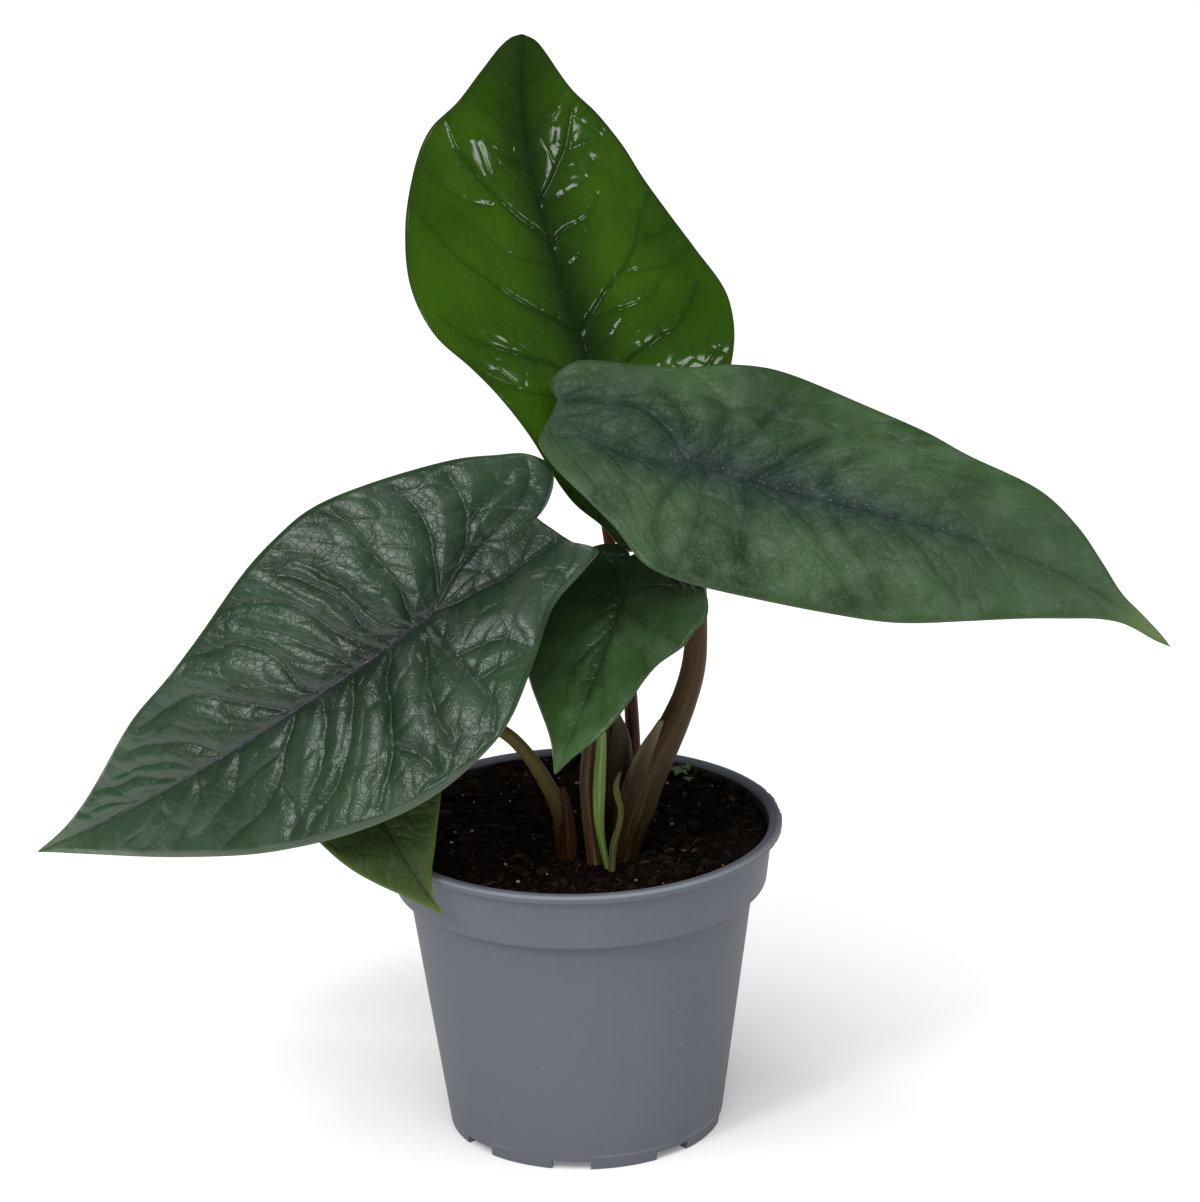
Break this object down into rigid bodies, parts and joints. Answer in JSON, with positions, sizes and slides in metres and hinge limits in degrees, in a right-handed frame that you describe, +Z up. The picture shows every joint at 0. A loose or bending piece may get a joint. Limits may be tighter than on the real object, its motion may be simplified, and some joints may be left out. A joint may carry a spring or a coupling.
{
  "type": "potted alocasia scalprum plant",
  "caption": "Young aroid house plant with arrow-shaped quilted leaves on long stalks, standing in peat in a round tapered nursery pot with a banded rim.",
  "frame": {"origin": "middle of the pot's base, on the surface that it stands on", "axes": "+Z up along the pot's axis; -Y is the side that the picture looks at; +X is to its right"},
  "size_m": [0.3337, 0.1621, 0.311],
  "materials": {
    "pot_plastic": "matte moulded plastic, slate grey",
    "peat": "dull, crumbly, dark brown",
    "corm_skin": "rough, brown",
    "leaf_bright": "glossy, fresh green",
    "leaf_dusty": "satin, grey green",
    "leaf_dark": "satin, dark blue green",
    "leaf_mid": "satin, mid green",
    "leaf_olive": "satin, olive green",
    "stalk_red": "satin, dark red brown",
    "stalk_brown": "satin, brown",
    "stalk_dark": "satin, dark brown",
    "stalk_striped": "satin, striped pinkish brown",
    "stalk_olive": "satin, olive brown",
    "spear_green": "satin, light green",
    "dry_scale": "dull, drying olive"
  },
  "bodies": {
    "root": {"pot": "pot_plastic", "soil": "peat", "corm": "corm_skin", "leaf_top": "leaf_bright", "leaf_right": "leaf_dusty", "leaf_left": "leaf_dark", "leaf_centre": "leaf_mid", "leaf_low": "leaf_olive", "petiole_top": "stalk_red", "petiole_right": "stalk_brown", "petiole_left": "stalk_dark", "petiole_centre": "stalk_striped", "petiole_low": "stalk_olive", "spear": "spear_green", "scale_leaf": "dry_scale"}
  },
  "joints": []
}
